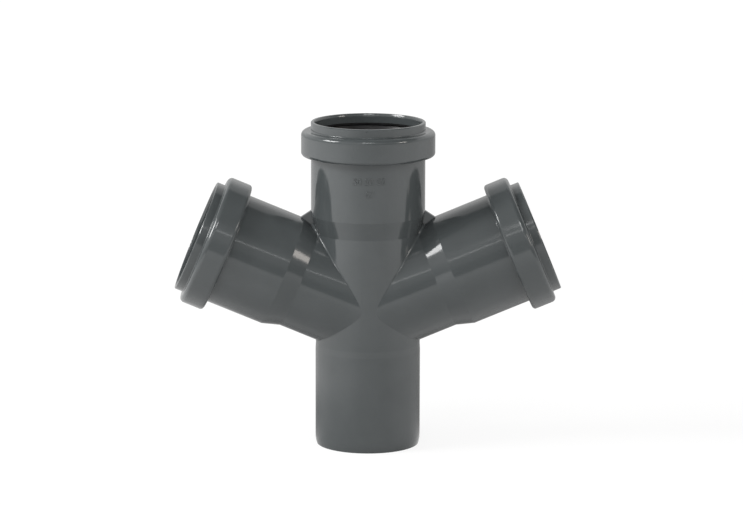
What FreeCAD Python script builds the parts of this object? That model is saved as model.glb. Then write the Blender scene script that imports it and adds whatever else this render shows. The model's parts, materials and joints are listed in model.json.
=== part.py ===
import FreeCAD, Part
import math
import os

# Push-fit drain cross for 50 mm pipe, as used indoors for waste water.
# One moulded body: a plain spigot runs up through the junction into the top
# socket, and two equal branches leave the junction left and right, leaning up.
# Each of the three sockets holds a loose rubber ring in its groove.
# Frame: origin at the centre of the spigot's end, +Z up the run, +X along the
# right branch, and the whole fitting symmetric about the XZ and YZ planes.
# Lengths in mm, angles in degrees.

# The pipe system
pipe_radius = 25.0             # outside of the spigot and of a pipe that goes in
wall = 1.8                     # wall of the pipe and of the moulding
socket_clearance = 0.3         # all round a pipe in a socket

# The run and its spigot
junction_height = 67.0         # from the spigot's end to where the axes meet
spigot_length = 46.0           # full diameter, from the end
spigot_nose_length = 4.0       # rounded lead-in at the spigot's end
spigot_nose_depth = 0.6
spigot_relief = 0.15           # the moulding is this much slimmer past the spigot
spigot_relief_length = 3.0

# The branches
branch_angle = 67.5            # between the run and each branch
branch_step = 0.25             # a branch's neck is this much slimmer than the run
socket_reach = 88.5            # from where the axes meet to each mouth

# A socket, measured back from its mouth
socket_depth = 44.5            # how far a pipe goes in
lip_length = 4.2
lip_wall = 1.9
housing_length = 12.0          # the raised band round the rubber ring
groove_depth = 4.7
cone_length = 8.5              # from the socket down to the neck
lead_in_width = 0.5
lead_in_depth = 1.2
groove_inset = 0.2             # the groove opens this far inside the band's ends
groove_flank = 1.8             # how much each flank leans over the groove's depth
housing_front_round = 2.2
housing_back_round = 1.6
rim_bevel = 0.35
cone_round = 1.0

# The webs between the top socket and the branches
web_reach = 53.2               # from where the axes meet to the web's top edge
web_thickness = 3.0

# A rubber ring, its lip laid back as it is on a fitted pipe
ring_clearance = 0.05          # between the rubber and the groove
ring_nose_height = 0.1         # the nose stands this far behind the socket's bore
ring_nose_length = 0.8
ring_valley_depth = 1.0        # between the nose and the lip
ring_valley_length = 0.6
ring_lip_gap = 0.08            # between the lip and the pipe
ring_lip_start = 4.3           # from the groove's opening to the lip's flat
ring_lip_length = 3.3
ring_lip_thickness = 0.9
ring_hollow_depth = 3.0        # behind the lip, from the bore
ring_hollow_length = 3.0
ring_heel_height = 1.5         # the heel stands this far behind the bore
ring_heel_thickness = 1.6

# Worked out from the sizes above
run_neck_radius = pipe_radius - spigot_relief
branch_neck_radius = run_neck_radius - branch_step
bore_radius = pipe_radius + socket_clearance
body_radius = bore_radius + wall
lip_radius = bore_radius + lip_wall
groove_radius = bore_radius + groove_depth
housing_radius = groove_radius + wall
run_waterway_radius = pipe_radius - wall
branch_waterway_radius = branch_neck_radius - wall
run_height = junction_height + socket_reach
housing_end = lip_length + housing_length
groove_front = lip_length + groove_inset
groove_back = housing_end - groove_inset
half_angle = math.radians(branch_angle / 2)

up = FreeCAD.Vector(0, 0, 1)
across = FreeCAD.Vector(0, 1, 0)
base = FreeCAD.Vector(0, 0, 0)
junction = FreeCAD.Vector(0, 0, junction_height)


def rounded_outline(corners):
    """Closed face in the XZ plane from (radius, height, rounding) corners."""
    points = [FreeCAD.Vector(radius, 0, height) for radius, height, rounding in corners]
    roundings = [rounding for radius, height, rounding in corners]
    starts = []
    arcs = []
    ends = []
    for i, corner in enumerate(points):
        before = (points[i - 1] - corner).normalize()
        after = (points[(i + 1) % len(points)] - corner).normalize()
        if roundings[i] == 0:
            starts.append(corner)
            ends.append(corner)
            arcs.append(None)
            continue
        half = before.getAngle(after) / 2
        start = corner + before * (roundings[i] / math.tan(half))
        end = corner + after * (roundings[i] / math.tan(half))
        middle_way = (before + after).normalize()
        middle = corner + middle_way * (roundings[i] / math.sin(half) - roundings[i])
        starts.append(start)
        ends.append(end)
        arcs.append(Part.Arc(start, middle, end).toShape())
    edges = []
    for i in range(len(points)):
        if arcs[i]:
            edges.append(arcs[i])
        following = starts[(i + 1) % len(points)]
        if ends[i].distanceToPoint(following) > 1e-6:
            edges.append(Part.makeLine(ends[i], following))
    return Part.Face(Part.Wire(edges))


def turned(corners):
    """Solid turned about +Z from an outline on one side of the axis."""
    return rounded_outline(corners).revolve(base, up, 360)


def socket_outside(rim):
    """Corners of a socket's outside, from its rim down to the neck's cone."""
    return [
        (lip_radius - rim_bevel, rim, 0),
        (lip_radius, rim - rim_bevel, 0),
        (lip_radius, rim - lip_length, 0),
        (housing_radius, rim - lip_length, housing_front_round),
        (housing_radius, rim - housing_end, housing_back_round),
        (body_radius, rim - housing_end, 0),
        (body_radius, rim - socket_depth, cone_round),
    ]


def socket_inside(rim, waterway_radius):
    """Corners of a socket's bore, from past its rim down to the waterway."""
    past = rim + lead_in_depth
    return [
        (0, past, 0),
        (bore_radius + 2 * lead_in_width, past, 0),
        (bore_radius, rim - lead_in_depth, 0),
        (bore_radius, rim - groove_front, 0),
        (groove_radius, rim - groove_front - groove_flank, 0),
        (groove_radius, rim - groove_back + groove_flank, 0),
        (bore_radius, rim - groove_back, 0),
        (bore_radius, rim - socket_depth, 0),
        (waterway_radius, rim - socket_depth - cone_length, 0),
    ]


def run_outside():
    """The run, from the spigot's rounded end up to the top socket's rim."""
    nose_radius = pipe_radius - spigot_nose_depth
    neck_top = run_height - socket_depth - cone_length
    corners = [(0, run_height, 0)]
    corners += socket_outside(run_height)
    corners += [
        (run_neck_radius, neck_top, cone_round),
        (run_neck_radius, spigot_length + spigot_relief_length, 0),
        (pipe_radius, spigot_length, 0),
        (pipe_radius, 0, 0),
        (0, 0, 0),
    ]
    blank = turned(corners)
    tip = FreeCAD.Vector(nose_radius, 0, 0)
    shoulder = FreeCAD.Vector(pipe_radius, 0, spigot_nose_length)
    # An arc that leaves the spigot's side smoothly and ends at the tip.
    arc_radius = (spigot_nose_length ** 2 + spigot_nose_depth ** 2) / (2 * spigot_nose_depth)
    half_turn = math.asin(spigot_nose_length / arc_radius) / 2
    middle = FreeCAD.Vector(
        pipe_radius - arc_radius * (1 - math.cos(half_turn)),
        0,
        spigot_nose_length - arc_radius * math.sin(half_turn),
    )
    corner = FreeCAD.Vector(pipe_radius, 0, 0)
    outer = FreeCAD.Vector(pipe_radius + wall, 0, 0)
    outer_top = FreeCAD.Vector(pipe_radius + wall, 0, spigot_nose_length)
    waste = Part.Wire([
        Part.Arc(tip, middle, shoulder).toShape(),
        Part.makeLine(shoulder, outer_top),
        Part.makeLine(outer_top, outer),
        Part.makeLine(outer, corner),
        Part.makeLine(corner, tip),
    ])
    return blank.cut(Part.Face(waste).revolve(base, up, 360))


def run_inside():
    """The run's waterway, straight through from the spigot to the top socket."""
    corners = socket_inside(run_height, run_waterway_radius)
    corners += [(run_waterway_radius, -wall, 0), (0, -wall, 0)]
    return turned(corners)


def branch_outside():
    """A branch standing on the junction, its axis along +Z."""
    neck_top = socket_reach - socket_depth - cone_length
    corners = [(0, socket_reach, 0)]
    corners += socket_outside(socket_reach)
    corners += [(branch_neck_radius, neck_top, cone_round), (branch_neck_radius, 0, 0), (0, 0, 0)]
    return turned(corners)


def branch_inside():
    """A branch's waterway and bore, from the junction out past its rim."""
    corners = socket_inside(socket_reach, branch_waterway_radius)
    corners += [(branch_waterway_radius, 0, 0), (0, 0, 0)]
    return turned(corners)


def web():
    """Flat web in the crotch between the run and the right branch."""
    along = FreeCAD.Vector(math.sin(half_angle), 0, math.cos(half_angle))
    square = FreeCAD.Vector(math.cos(half_angle), 0, -math.sin(half_angle))
    half_edge = (web_reach * math.sin(half_angle) - body_radius + wall / 2) / math.cos(half_angle)
    start = junction + along * (run_neck_radius / math.sin(half_angle) / 2)
    first = junction + along * web_reach - square * half_edge
    second = junction + along * web_reach + square * half_edge
    outline = Part.Face(Part.makePolygon([start, first, second, start]))
    outline.translate(across * (-web_thickness / 2))
    return outline.extrude(across * web_thickness)


def ring():
    """A rubber sealing ring, in a socket whose rim is at height zero."""
    opening = groove_radius - bore_radius
    nose_radius = bore_radius + ring_nose_height
    heel_radius = bore_radius + ring_heel_height
    hollow_radius = bore_radius + ring_hollow_depth
    lip_inner = pipe_radius + ring_lip_gap
    outer = groove_radius - ring_clearance

    def front(radius):
        return groove_front + groove_flank * (radius - bore_radius) / opening + ring_clearance

    def back(radius):
        return groove_back - groove_flank * (radius - bore_radius) / opening - ring_clearance

    nose_end = front(nose_radius) + ring_nose_length
    lip_start = groove_front + ring_lip_start
    lip_end = lip_start + ring_lip_length
    heel_start = back(heel_radius) - ring_heel_thickness
    section = [
        (nose_radius, front(nose_radius)),
        (outer, front(outer)),
        (outer, back(outer)),
        (heel_radius, back(heel_radius)),
        (heel_radius, heel_start),
        (hollow_radius, heel_start),
        (hollow_radius, heel_start - ring_hollow_length),
        (lip_inner + ring_lip_thickness, lip_end),
        (lip_inner, lip_end),
        (lip_inner, lip_start),
        (bore_radius + ring_valley_depth, nose_end + ring_valley_length),
        (nose_radius, nose_end),
    ]
    return turned([(radius, -depth, 0) for radius, depth in section])


def at_branch(shape, side):
    """A copy of a shape that stands on the junction, leant over to one side."""
    lean = FreeCAD.Rotation(across, side * branch_angle)
    moved = shape.copy()
    moved.Placement = FreeCAD.Placement(junction, lean).multiply(shape.Placement)
    return moved


def fitting_body():
    """The moulded body, all its outside joined first and then hollowed."""
    right_web = web()
    left_web = right_web.mirror(base, FreeCAD.Vector(1, 0, 0))
    outside = run_outside().fuse([
        at_branch(branch_outside(), 1),
        at_branch(branch_outside(), -1),
        right_web,
        left_web,
    ])
    hollows = [run_inside(), at_branch(branch_inside(), 1), at_branch(branch_inside(), -1)]
    return outside.cut(hollows).removeSplitter()


def top_seal():
    seal = ring()
    seal.translate(up * run_height)
    return seal


def branch_seal(side):
    seal = ring()
    seal.translate(up * socket_reach)
    return at_branch(seal, side)


nodes = {
    "fitting_body": fitting_body(),
    "top_seal": top_seal(),
    "left_seal": branch_seal(-1),
    "right_seal": branch_seal(1),
}

os.makedirs("parts", exist_ok=True)
for name, shape in nodes.items():
    solid = shape.Solids[0] if len(shape.Solids) == 1 else shape
    solid.exportStep("parts/" + name + ".step")
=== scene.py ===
# %% [markdown]
# # A push-fit drain cross in grey polypropylene
#
# This notebook dresses a moulded drain fitting: a plain spigot below, a socket on top, and
# two branch sockets that lean up to the left and the right. The solids are true already, so
# the lesson is about light on glossy plastic. We give the moulding and its rubber rings their
# finishes, add the small roundings and marks that a mould leaves, and build the white table,
# the room and the soft lamps that the plastic reflects.

import json
import math

import bmesh
import bpy
from mathutils import Euler, Matrix, Vector


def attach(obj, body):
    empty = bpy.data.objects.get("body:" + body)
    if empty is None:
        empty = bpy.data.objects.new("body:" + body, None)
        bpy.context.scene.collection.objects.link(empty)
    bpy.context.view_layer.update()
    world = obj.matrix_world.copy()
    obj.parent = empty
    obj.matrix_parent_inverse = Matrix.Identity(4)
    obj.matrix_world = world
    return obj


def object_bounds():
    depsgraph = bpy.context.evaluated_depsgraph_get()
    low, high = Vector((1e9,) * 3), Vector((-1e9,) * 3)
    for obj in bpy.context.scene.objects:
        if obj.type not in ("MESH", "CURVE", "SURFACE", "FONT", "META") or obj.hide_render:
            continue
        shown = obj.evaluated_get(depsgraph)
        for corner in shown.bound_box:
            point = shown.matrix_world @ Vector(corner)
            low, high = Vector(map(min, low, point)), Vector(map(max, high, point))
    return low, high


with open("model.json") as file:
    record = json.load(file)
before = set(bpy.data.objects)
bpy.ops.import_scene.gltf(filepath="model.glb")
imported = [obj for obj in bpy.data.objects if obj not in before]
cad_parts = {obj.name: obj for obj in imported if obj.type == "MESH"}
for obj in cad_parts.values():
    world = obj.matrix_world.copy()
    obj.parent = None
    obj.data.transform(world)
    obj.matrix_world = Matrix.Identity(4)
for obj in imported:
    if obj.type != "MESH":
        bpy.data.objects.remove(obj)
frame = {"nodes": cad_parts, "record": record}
solid_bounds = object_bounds()
nodes = frame["nodes"]
millimetre = 0.001
print("nodes:", ", ".join(sorted(nodes)))
print("solid box:", [tuple(round(value, 4) for value in corner) for corner in solid_bounds])

# %% [markdown]
# ## The camera
#
# A product photographer stands well back and uses a long lens, so that upright edges stay
# upright. The values below were found by fitting the outline of the solids to the outline
# of the real fitting. The camera looks at a point on the run, is lifted by about eleven
# degrees, and is slid a little sideways and upwards to set the framing.

# %% Set the camera
camera_distance = 1.6597
camera_lift = math.radians(10.703)
camera_turn = math.radians(-1.013)
camera_roll = math.radians(0.147)
camera_slide = Vector((0.0017, 0.0122, camera_distance))
looked_at = Vector((0, 0, 0.080))
frame_width = 743
focal_pixels = 3481.8
sensor_width = 36.0

camera_data = bpy.data.cameras.new("camera")
camera_data.sensor_width = sensor_width
camera_data.lens = focal_pixels / frame_width * sensor_width
camera = bpy.data.objects.new("camera", camera_data)
facing = Euler((math.pi / 2 - camera_lift, 0, camera_turn)).to_matrix()
facing = facing @ Matrix.Rotation(camera_roll, 3, "Z")
camera.matrix_world = Matrix.Translation(looked_at + facing @ camera_slide) @ facing.to_4x4()
bpy.context.scene.collection.objects.link(camera)
bpy.context.scene.camera = camera
print("lens:", round(camera_data.lens, 1), "mm at", camera_distance, "m")

# %% [markdown]
# ## Shader maths as Python
#
# A finish is a graph of nodes, but it reads better as arithmetic. The class below wraps one
# socket. Adding, multiplying or subtracting wrapped sockets adds the Math nodes that do it,
# and every other node comes from one method.

# %% A socket that Python can do sums with
class Wire:
    """One output socket of a node tree."""

    def __init__(self, tree, socket=None):
        self.tree = tree
        self.socket = socket

    def node(self, kind, sockets=None, output=0, **settings):
        """Adds a node, sets it up, feeds its sockets and returns the output asked for."""
        made = self.tree.nodes.new(kind)
        for name, value in settings.items():
            setattr(made, name, value)
        for name, value in (sockets or {}).items():
            if isinstance(value, Wire):
                self.tree.links.new(value.socket, made.inputs[name])
            else:
                made.inputs[name].default_value = value
        return Wire(self.tree, made.outputs[output] if made.outputs else None)

    def combined(self, operation, first, second):
        return self.node("ShaderNodeMath", {0: first, 1: second}, operation=operation)

    def __add__(self, other):
        return self.combined("ADD", self, other)

    def __sub__(self, other):
        return self.combined("SUBTRACT", self, other)

    def __rsub__(self, other):
        return self.combined("SUBTRACT", other, self)

    def __mul__(self, other):
        return self.combined("MULTIPLY", self, other)

    __radd__ = __add__
    __rmul__ = __mul__

    def ramp(self, low, high):
        """Zero below low, one above high and a smooth rise between."""
        limits = {"Value": self, "From Min": low, "From Max": high}
        return self.node("ShaderNodeMapRange", limits, interpolation_type="SMOOTHSTEP")

    def blend(self, first, second):
        """A colour between two, by this value."""
        # In a Mix node, the sockets for colours are inputs 6 and 7 and output 2
        sockets = {0: self, 6: first, 7: second}
        return self.node("ShaderNodeMix", sockets, output=2, data_type="RGBA")


print("Wire adds nodes for +, -, *, ramps and colour blends")

# %% [markdown]
# ## Grey polypropylene
#
# The fitting comes off its steel mould with a fairly bright skin. Up close that skin isn't
# a mirror: it has a very fine grain, a slow waviness where the wall shrank, and the pigment
# is a touch uneven. Grain and waviness go into the bump, the grain also into the roughness,
# and two near greys are blended for the pigment.

# %% Helpers for noise and for a finished material
def noise(wire, place, size, detail=2.0):
    """Noise whose lumps are about this many metres across."""
    sockets = {"Vector": place, "Scale": 1 / size, "Detail": detail}
    return wire.node("ShaderNodeTexNoise", sockets)


def new_material(name):
    material = bpy.data.materials.new(name)
    material.use_nodes = True
    material.node_tree.nodes.clear()
    return material


def finish(material, wire, sockets):
    """Ends a material with one Principled shader."""
    surface = wire.node("ShaderNodeBsdfPrincipled", sockets)
    wire.node("ShaderNodeOutputMaterial", {"Surface": surface})
    print("finish:", material.name, "with", len(material.node_tree.nodes), "nodes")
    return material


# %% The moulded plastic
def moulded_plastic():
    material = new_material("grey_polypropylene")
    wire = Wire(material.node_tree)
    place = wire.node("ShaderNodeTexCoord", output="Object")
    pigment = noise(wire, place, 18 * millimetre, 3.0)
    grain = noise(wire, place, 0.35 * millimetre, 4.0)
    waviness = noise(wire, place, 14 * millimetre, 1.0)
    darker = (0.061, 0.0685, 0.0700, 1)
    lighter = (0.067, 0.0745, 0.0765, 1)
    colour = pigment.ramp(0.3, 0.7).blend(darker, lighter)
    roughness = 0.09 + 0.05 * grain
    height = grain * 0.02 + waviness
    bump = wire.node("ShaderNodeBump", {"Height": height, "Strength": 0.12, "Distance": 0.0004})
    sockets = {"Base Color": colour, "Roughness": roughness, "Normal": bump, "IOR": 1.49}
    return finish(material, wire, sockets)


# %% [markdown]
# ## Black rubber
#
# A sealing ring is moulded rubber with a film of lubricant. It is nearly black, and dull
# beside the plastic, with a soft sheen where the film lies.

# %% The rubber
def black_rubber():
    material = new_material("black_rubber")
    wire = Wire(material.node_tree)
    place = wire.node("ShaderNodeTexCoord", output="Object")
    film = noise(wire, place, 4 * millimetre, 2.0)
    grain = noise(wire, place, 0.25 * millimetre, 3.0)
    colour = film.ramp(0.35, 0.65).blend((0.004, 0.004, 0.004, 1), (0.008, 0.008, 0.009, 1))
    roughness = 0.38 + 0.18 * film
    bump = wire.node("ShaderNodeBump", {"Height": grain, "Strength": 0.15, "Distance": 0.0001})
    sockets = {"Base Color": colour, "Roughness": roughness, "Normal": bump, "IOR": 1.38}
    return finish(material, wire, sockets)


# %% Give each solid its finish
plastic = moulded_plastic()
rubber = black_rubber()
for name, node in nodes.items():
    for slot in node.material_slots:
        slot.material = rubber if name.endswith("seal") else plastic
    print(name, "has", node.material_slots[0].material.name)

# %% [markdown]
# ## The small roundings of the mould
#
# No mould has a sharp inner corner, because hot plastic would tear there. Where a branch
# meets the run, and where a band stands on its socket, the real wall turns on a radius of
# a millimetre or less, and that hair of a curve catches the lamps as a fine bright line.
# A Bevel modifier could do it, but the solids stay as they are. So each rounding is a thin
# strip laid into its corner: one small section is worked out at many places along the
# corner, and a skin is drawn from each section to the next.

# %% Add a piece to the fitting
def add_piece(name, mesh):
    """Puts a mesh in the scene as a plastic piece that rides with the fitting."""
    mesh.materials.clear()
    mesh.materials.append(plastic)
    piece = bpy.data.objects.new(name, mesh)
    bpy.context.scene.collection.objects.link(piece)
    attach(piece, "root")
    print(name, "has", len(mesh.polygons), "faces")


# %% A piece skinned over sections
sharp_turn = math.radians(35)


def skinned_piece(name, skins):
    """One plastic piece from lists of sections; a skin marked True closes on itself."""
    shape = bmesh.new()
    for sections, closed in skins:
        rows = [[shape.verts.new(point) for point in section] for section in sections]
        pairs = list(zip(rows, rows[1:]))
        if closed:
            pairs.append((rows[-1], rows[0]))
        else:
            shape.faces.new(rows[0])
            shape.faces.new(rows[-1])
        for first, second in pairs:
            for i in range(len(first)):
                shape.faces.new((first[i - 1], first[i], second[i], second[i - 1]))
    bmesh.ops.recalc_face_normals(shape, faces=shape.faces)
    for face in shape.faces:
        face.smooth = True
    mesh = bpy.data.meshes.new(name)
    shape.to_mesh(mesh)
    shape.free()
    mesh.set_sharp_from_angle(angle=sharp_turn)
    add_piece(name, mesh)


# %% One section of a rounding
steps = 8
buried = 0.3 * millimetre


def rounding(corner, first_way, second_way, radius):
    """A buried point, then the points of a hollow rounding between two walls at a corner."""
    middle_way = (first_way + second_way).normalized()
    half = first_way.angle(second_way) / 2
    reach = radius / math.tan(half)
    centre = corner + middle_way * (radius / math.sin(half))
    first = corner + first_way * reach - centre
    last = corner + second_way * reach - centre
    turn = first.angle(last)
    points = [corner - middle_way * buried]
    for step in range(steps + 1):
        share = step / steps
        spoke = first * math.sin((1 - share) * turn) + last * math.sin(share * turn)
        points.append(centre + spoke / math.sin(turn))
    return points


# %% [markdown]
# ## Where the tubes meet
#
# The run and a branch are both tubes with a straight neck and a short cone, so the line where
# they meet follows from their sizes. At each depth from front to back we look for the height
# at which the wall of the run is also on the wall of the branch. A search by halves finds it.
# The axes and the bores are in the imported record, and the other sizes are worked out from them.

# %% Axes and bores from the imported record
mounts = {mount["name"]: mount for mount in frame["record"]["mounts"]}
run_way = Vector(mounts["top_socket"]["axis"])
branch_way = Vector(mounts["right_socket"]["axis"])
branch_bore = Vector(mounts["right_socket"]["pos_m"])
junction = branch_bore - branch_way * (branch_bore.x / branch_way.x)
top_rim = solid_bounds[1][2]
socket_reach = top_rim - junction.z
bore_radius = mounts["top_socket"]["dims"]["r_mm"] * millimetre
pipe_radius = mounts["spigot"]["dims"]["r_mm"] * millimetre
print("the axes meet at a height of", round(junction.z, 5), "m")
print("each mouth is", round(socket_reach, 5), "m from there")

# %% Sizes of the tubes
wall = 1.8 * millimetre
spigot_relief = 0.15 * millimetre
branch_step = 0.25 * millimetre
socket_depth = 44.5 * millimetre
cone_length = 8.5 * millimetre
run_neck = pipe_radius - spigot_relief
branch_neck = run_neck - branch_step
socket_radius = bore_radius + wall
cone_end = socket_reach - socket_depth
cone_start = cone_end - cone_length
print("necks:", round(run_neck, 5), "and", round(branch_neck, 5), "m in radius")


# %% The walls of the tubes
def tube_radius(neck, along):
    """Outside radius of a tube, by the distance from where the axes meet."""
    share = min(max((along - cone_start) / (cone_end - cone_start), 0), 1)
    return neck + (socket_radius - neck) * share


def half_width(neck, along, depth):
    return math.sqrt(max(tube_radius(neck, along) ** 2 - depth ** 2, 0))


def wall_normal(point, way, neck):
    """The way a tube's wall faces at a point, evened out over the start of a cone."""
    evening = 0.7 * millimetre
    along = (point - junction).dot(way)
    out = (point - junction - way * along).normalized()
    growth = tube_radius(neck, along + evening) - tube_radius(neck, along - evening)
    slope = growth / (2 * evening)
    return (out - way * slope).normalized()


# %% The corner line between the run and a branch
halvings = 40


def corner_point(depth, above):
    """Where the two walls meet at one depth, above (1) or below (-1) the branch."""
    low = -socket_reach
    high = socket_reach
    for halving in range(halvings):
        rise = (low + high) / 2
        aside = half_width(run_neck, rise, depth)
        along = aside * branch_way.x + rise * branch_way.z
        across = rise * branch_way.x - aside * branch_way.z
        if across > above * half_width(branch_neck, along, depth):
            high = rise
        else:
            low = rise
    return junction + Vector((aside, depth, rise))


middle = [round(value, 4) for value in corner_point(0, 1)]
print("the upper corner crosses the middle plane at", middle)

# %% Sections along a corner line
corner_rounding = 0.9 * millimetre
stations = 60


def corner_strip(start, end, above):
    """Roundings along a corner line, between two angles round the branch from its top."""
    angles = [start + (end - start) * i / stations for i in range(stations + 1)]
    points = [corner_point(-branch_neck * math.sin(angle), above) for angle in angles]
    sections = []
    for i, point in enumerate(points):
        line = points[min(i + 1, stations)] - points[max(i - 1, 0)]
        run_normal = wall_normal(point, run_way, run_neck)
        branch_normal = wall_normal(point, branch_way, branch_neck)
        up_run = run_normal.cross(line).normalized()
        up_run *= math.copysign(1, up_run.dot(branch_normal))
        out_branch = branch_normal.cross(line).normalized()
        out_branch *= math.copysign(1, out_branch.dot(run_normal))
        sections.append(rounding(point, up_run, out_branch, corner_rounding))
    return sections


def mirror_image(sections):
    return [[Vector((-point.x, point.y, point.z)) for point in section] for section in sections]


# %% Lay a rounding into each corner line
web_thickness = 3.0 * millimetre
tucked_in = 0.1 * millimetre
# An upper strip starts just inside the web and ends where the two walls are nearly in line
at_web = math.asin((web_thickness / 2 - tucked_in) / branch_neck)
at_tip = math.radians(88)
right_strips = [
    corner_strip(at_web, at_tip, 1),
    corner_strip(-at_web, -at_tip, 1),
    corner_strip(-at_tip, at_tip, -1),
]
skins = [(strip, False) for strip in right_strips]
skins += [(mirror_image(strip), False) for strip in right_strips]
skinned_piece("corner_roundings", skins)

# %% [markdown]
# ## The feet of the bands
#
# Each socket carries a raised band over its rubber ring. The band stands on the lip in front
# and on the socket behind, and both corners run all the way round, so their skins close on
# themselves. We turn one section about the socket's axis, as a lathe would.

# %% Ways out from a socket's axis
turns = 144
backwards_way = Vector((0, 1, 0))
socket_ways = [run_way, branch_way, Vector((-branch_way.x, 0, branch_way.z))]


def ways_out(way):
    """Ways that point out from a socket's axis, all round it."""
    across = backwards_way.cross(way)
    angles = [2 * math.pi * i / turns for i in range(turns)]
    return [across * math.cos(angle) + backwards_way * math.sin(angle) for angle in angles]


# %% Lay a rounding round each foot of each band
band_rounding = 0.6 * millimetre
lip_wall = 1.9 * millimetre
lip_radius = bore_radius + lip_wall
lip_length = 4.2 * millimetre
band_length = 12.0 * millimetre
band_end = lip_length + band_length


def foot_sections(way, radius, depth, wall_way):
    """Roundings round a band's foot, at a depth behind the mouth of the socket along way."""
    foot = junction + way * socket_reach - way * depth
    sections = []
    for out in ways_out(way):
        sections.append(rounding(foot + out * radius, way * wall_way, out, band_rounding))
    return sections


skins = []
for way in socket_ways:
    skins.append((foot_sections(way, lip_radius, lip_length, 1), True))
    skins.append((foot_sections(way, socket_radius, band_end, -1), True))
skinned_piece("band_roundings", skins)

# %% [markdown]
# ## The bevel inside each mouth
#
# A bevel leads the pipe into its socket. A dead flat bevel would mirror a lamp as one broad
# white bar. The real one is slightly swollen, so the lamp shrinks to a thin glint. We lay a
# skin over the bevel that rises by a few hundredths of a millimetre in its middle.

# %% Swell the bevel inside each mouth
bevel_width = 0.5 * millimetre
bevel_depth = 1.2 * millimetre
swell = 0.07 * millimetre
bevel_buried = 0.28 * millimetre
bevel_steps = 8


def bevel_sections(way):
    """Sections round a mouth that make its flat inner bevel a little convex."""
    mouth = junction + way * socket_reach
    sections = []
    for out in ways_out(way):
        top = mouth + out * (bore_radius + bevel_width)
        fall = -out * bevel_width - way * bevel_depth
        proud = (way * bevel_width - out * bevel_depth).normalized()
        section = [top + fall / 2 - proud * bevel_buried]
        for step in range(bevel_steps + 1):
            share = step / bevel_steps
            rise = swell * 4 * share * (1 - share)
            section.append(top + fall * share + proud * rise)
        sections.append(section)
    return sections


skinned_piece("mouth_bevels", [(bevel_sections(way), True) for way in socket_ways])

# %% [markdown]
# ## The stub of the gate
#
# Plastic enters the mould through a small gate. When it is snapped off, a tiny stub stays,
# here on the front of the top lip. It is a low mound with a rounded top, skinned over four
# rings that get smaller as they rise.

# %% Leave a stub on the top lip
stub_turn = math.radians(-2.8)
stub_drop = 0.7 * millimetre
stub_steps = 20
# Radius and height of each ring in millimetres, from the buried foot up
stub_profile = [(0.60, -0.15), (0.55, 0.06), (0.40, 0.17), (0.15, 0.21)]
stub_out = Vector((math.sin(stub_turn), -math.cos(stub_turn), 0))
stub_across = run_way.cross(stub_out)
stub_foot = junction + run_way * (socket_reach - stub_drop) + stub_out * lip_radius
stub_rings = []
for radius, height in stub_profile:
    ring = []
    for i in range(stub_steps):
        angle = 2 * math.pi * i / stub_steps
        spoke = stub_across * math.cos(angle) + run_way * math.sin(angle)
        ring.append(stub_foot + stub_out * height * millimetre + spoke * radius * millimetre)
    stub_rings.append(ring)
skinned_piece("gate_stub", [(stub_rings, False)])

# %% [markdown]
# ## The raised numbers
#
# The mould also leaves plain sizes on the top socket: three mouths for 50 mm pipe, and
# branches at 67 degrees. They could be a bump in the material, but real ones have flanks that
# catch the light from any side. So they start as a Text curve with a small bevel, become
# a mesh, and are bent round the wall, a tenth of a millimetre deep in it.

# %% Raise the numbers
relief = 0.30 * millimetre
flank = 0.17 * millimetre
sunk = 0.10 * millimetre
letter_size = 4.4 * millimetre
first_line = top_rim - 26.1 * millimetre
second_line = first_line - 6.0 * millimetre


def raised_numbers(name, words, height):
    """Plain numbers bent round the front of the top socket."""
    written = bpy.data.curves.new(name, "FONT")
    written.body = words
    written.size = letter_size
    written.align_x = "CENTER"
    written.extrude = (relief + sunk) / 2 - flank
    written.bevel_depth = flank
    written.bevel_resolution = 2
    written.offset = -flank / 2
    written.resolution_u = 4
    flat = bpy.data.objects.new(name, written)
    mesh = bpy.data.meshes.new_from_object(flat)
    bpy.data.objects.remove(flat)
    for vertex in mesh.vertices:
        angle = vertex.co.x / socket_radius
        out = socket_radius + vertex.co.z + (relief - sunk) / 2
        vertex.co = (out * math.sin(angle), -out * math.cos(angle), height + vertex.co.y)
    add_piece(name, mesh)


raised_numbers("size_numbers", "50 50 50", first_line)
raised_numbers("angle_number", "67", second_line)

# %% [markdown]
# ## The white table
#
# The fitting stands on a white table that ends about a metre in front of it. A colour under
# 1 never renders as pure white, and more light would spoil the fitting. So for the camera
# the table is mostly a glow just short of white, with a thin diffuse part that keeps the
# soft shadow. Glossy rays see another glow, with light and shade painted into it: a painted
# pool of light under the left lamp, gentler painted light on the right and in front, and
# painted shade behind and close round the fitting. The undersides of the branches mirror it.

# %% Lay the table
table_front = -1.1
table_back = 4.0
table_half_width = 4.0


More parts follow.
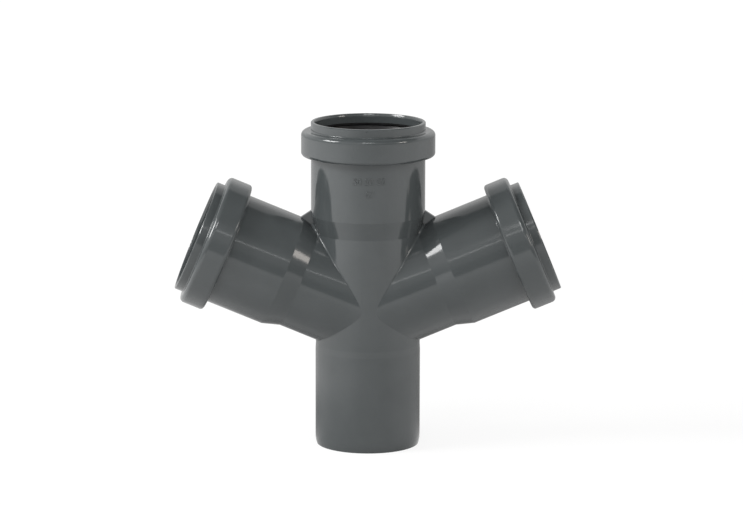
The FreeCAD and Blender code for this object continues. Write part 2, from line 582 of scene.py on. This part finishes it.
def white_table():
    material = new_material("white_table")
    wire = Wire(material.node_tree)
    place = wire.node("ShaderNodeTexCoord", output="Object")
    seen = wire.node("ShaderNodeLightPath", output="Is Camera Ray")
    mirrored = wire.node("ShaderNodeLightPath", output="Is Glossy Ray")
    away = wire.node("ShaderNodeVectorMath", {0: place}, output="Value", operation="LENGTH")
    way = wire.node("ShaderNodeVectorMath", {0: place}, operation="NORMALIZE")
    backwards = wire.node("ShaderNodeSeparateXYZ", {0: way}, output="Y")
    sideways = wire.node("ShaderNodeSeparateXYZ", {0: way}, output="X")
    # The glow that glossy rays see, by direction and distance from the fitting: a painted pool
    # of light to the left, painted light to the right, and painted shade behind and near the
    # fitting
    painted_left_light = 0.62 * (sideways * -1).ramp(0.1, 1.0) * away.ramp(0.07, 0.17)
    painted_right_light = 0.25 * sideways.ramp(0.5, 1.0)
    front_glow_and_painted_shade = 0.47 + 0.25 * away.ramp(0.1, 0.5)
    # Painted shade: the glow falls away behind the fitting
    painted_shade_behind = 0.47 * backwards.ramp(0.05, 0.75)
    painted_mirror_light = front_glow_and_painted_shade + painted_left_light + painted_right_light - painted_shade_behind
    # The camera's glow rises a little far away, where the lamps' light fades
    seen_glow = 0.84 + 0.07 * away.ramp(0.3, 1.2)
    glow = seen * seen_glow + mirrored * painted_mirror_light
    whiteness = 0.65 - 0.30 * mirrored - 0.47 * seen
    lit = wire.node("ShaderNodeBsdfDiffuse", {"Color": whiteness})
    glowing = wire.node("ShaderNodeEmission", {"Color": (1, 1, 1, 1), "Strength": glow})
    both = wire.node("ShaderNodeAddShader", {0: lit, 1: glowing})
    wire.node("ShaderNodeOutputMaterial", {"Surface": both})
    return material


corners = [
    (-table_half_width, table_front, 0),
    (table_half_width, table_front, 0),
    (table_half_width, table_back, 0),
    (-table_half_width, table_back, 0),
]
table_mesh = bpy.data.meshes.new("table")
table_mesh.from_pydata(corners, [], [(0, 1, 2, 3)])
table_mesh.materials.append(white_table())
table = bpy.data.objects.new("table", table_mesh)
bpy.context.scene.collection.objects.link(table)
print("table from", table_front, "to", table_back, "m")

# %% [markdown]
# ## The room
#
# The room is white to the camera, and an even pale light for everything else, a little weaker
# from overhead. Its mirror image is not even at all, and glossy plastic shows that at once.
# Behind the fitting stands a pale backdrop, which gives each outline its soft rim at
# a grazing angle. There is a glow round the left lamp, a dim band above the table's edge,
# and almost nothing overhead, so the front stays deep grey.

# %% Paint the room
left_lamp_way = (-0.70, -0.45, 0.55)


def paint_room():
    world = bpy.data.worlds.new("room")
    world.use_nodes = True
    world.node_tree.nodes.clear()
    bpy.context.scene.world = world
    wire = Wire(world.node_tree)
    direction = wire.node("ShaderNodeTexCoord", output="Generated")
    backwards = wire.node("ShaderNodeSeparateXYZ", {0: direction}, output="Y")
    upwards = wire.node("ShaderNodeSeparateXYZ", {0: direction}, output="Z")
    near_lamp = {0: direction, 1: left_lamp_way}
    by_lamp = wire.node("ShaderNodeVectorMath", near_lamp, output="Value", operation="DOT_PRODUCT")
    # What glossy rays see: the walls, the glow round the lamp and the backdrop
    walls = 0.22 + 0.30 * upwards.ramp(0.12, 0.30) - 0.48 * upwards.ramp(0.45, 0.75)
    lamp_glow = 0.55 * by_lamp.ramp(0.68, 0.95)
    backdrop_place = (backwards - 1.05 * upwards).ramp(-0.44, -0.24)
    backdrop = backdrop_place * (0.62 - 0.20 * backwards.ramp(0.6, 1.0))
    mirror_level = walls + lamp_glow + backdrop
    light_level = 0.95 - 0.55 * upwards.ramp(0.3, 0.9)
    seen = wire.node("ShaderNodeLightPath", output="Is Camera Ray")
    mirrored = wire.node("ShaderNodeLightPath", output="Is Glossy Ray")
    strength = seen + mirrored * mirror_level + (1 - seen - mirrored) * light_level
    sockets = {"Color": (1, 1, 1, 1), "Strength": strength}
    background = wire.node("ShaderNodeBackground", sockets)
    wire.node("ShaderNodeOutputWorld", {"Surface": background})
    print("room painted")


paint_room()

# %% [markdown]
# ## The lamps
#
# Two soft boxes light the fitting from the left and the right. Their places come from their
# mirror images: the left box is the white patch on the right branch's cone, and the right
# box, which is warmer and dimmer, is the patch on the left one. The left box is the larger,
# so the left side of every tube is a little lighter. A box above the camera puts the middle
# glint on the top band, and a thin strip draws the fine line along each branch.

# %% A soft box
def soft_box(name, distance, turn, lift, width, height, radiance, colour=(1, 1, 1)):
    """A lamp that faces the fitting, placed by two angles in degrees from its front."""
    turn = math.radians(turn)
    lift = math.radians(lift)
    towards = Vector((
        math.sin(turn) * math.cos(lift),
        -math.cos(turn) * math.cos(lift),
        math.sin(lift),
    ))
    lamp = bpy.data.lights.new(name, "AREA")
    lamp.shape = "RECTANGLE"
    lamp.size = width
    lamp.size_y = height
    lamp.energy = radiance * math.pi * width * height
    lamp.color = colour
    hung = bpy.data.objects.new(name, lamp)
    hung.location = looked_at + towards * distance
    hung.rotation_euler = towards.to_track_quat("Z", "Y").to_euler()
    bpy.context.scene.collection.objects.link(hung)
    print(name, "gives", round(lamp.energy, 1), "W")


# %% Hang the lamps
near = 1.2
far = 2.0
warm = (1, 0.93, 0.87)
soft_box("left_box", near, turn=-77, lift=36, width=0.51, height=0.43, radiance=14.4)
soft_box("right_box", near, turn=61, lift=24, width=0.29, height=0.28, radiance=7.4, colour=warm)
soft_box("top_box", near, turn=-2, lift=42, width=0.38, height=0.20, radiance=8.5)
soft_box("strip", far, turn=0, lift=28.5, width=1.6, height=0.035, radiance=5)

# %% [markdown]
# ## A plain picture
#
# Blender's usual view transform bends colours as film does. Standard shows them as written,
# so a white of 1 is white, and the grey of the plastic can be judged.

# %% Leave the picture plain
bpy.context.scene.view_settings.view_transform = "Standard"
print("view transform:", bpy.context.scene.view_settings.view_transform)
